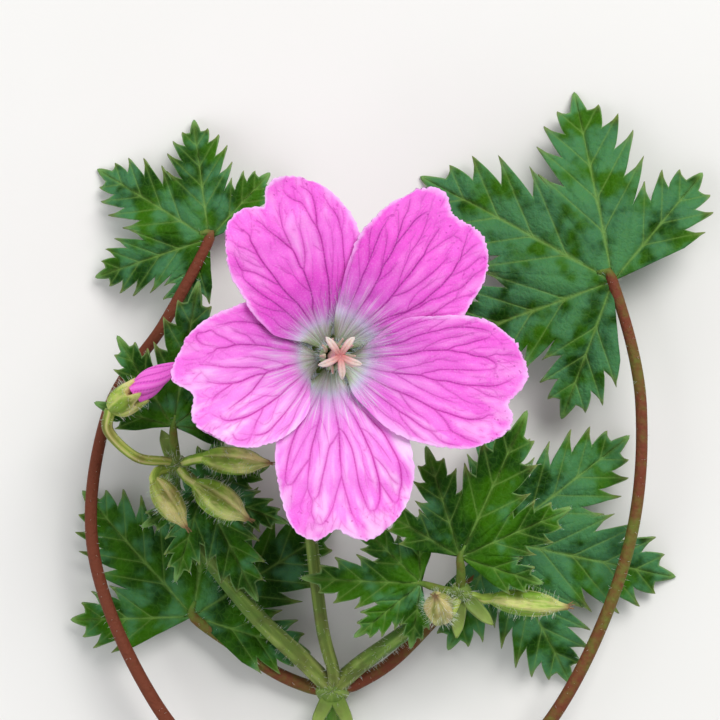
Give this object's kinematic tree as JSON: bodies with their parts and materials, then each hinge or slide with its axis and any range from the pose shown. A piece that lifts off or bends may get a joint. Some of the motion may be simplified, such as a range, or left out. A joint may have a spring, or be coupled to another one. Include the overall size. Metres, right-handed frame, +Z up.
{
  "type": "hardy geranium flowering stem",
  "caption": "Cut flowering stem of a hardy geranium lying flat: an open pink five-petalled flower, buds and toothed palmate leaves on forked stalks.",
  "frame": {"origin": "on the resting surface, in the middle of the flat strip under the main stem", "axes": "+Y along the main stem from its cut end towards the flower, +Z up out of the surface and towards the viewer of the open flower, +X to the viewer's right"},
  "size_m": [0.0692, 0.1088, 0.0278],
  "materials": {
    "petal": "soft satin petal, pink with magenta veins",
    "stigma": "velvety, salmon to cream",
    "filament": "smooth, pale green to pinkish white",
    "calyx": "hairy green skin",
    "leaf": "matte green blade with pale veins and margins",
    "bud": "hairy yellow-green skin, tan at the tips",
    "stem": "hairy green skin, reddish at the joints"
  },
  "bodies": {
    "root": {"petal_upper_left": "petal", "petal_upper_right": "petal", "petal_right": "petal", "petal_lower": "petal", "petal_left": "petal", "pistil": "stigma", "stamens": "filament", "calyx_and_stalk": "calyx", "leaf_upper_right": "leaf", "leaf_upper_front": "leaf", "leaf_upper_left": "leaf", "leaf_lower_left": "leaf", "leaf_middle_right": "leaf", "leaf_middle_left": "leaf", "leaf_far_right": "leaf", "leaf_far_left": "leaf", "bud_left_upper": "bud", "bud_left_middle": "bud", "bud_left_lower": "bud", "bud_right_outer": "bud", "bud_right_inner": "bud", "bud_opening": "bud", "bud_opening_petals": "petal", "stem": "stem"}
  },
  "joints": []
}
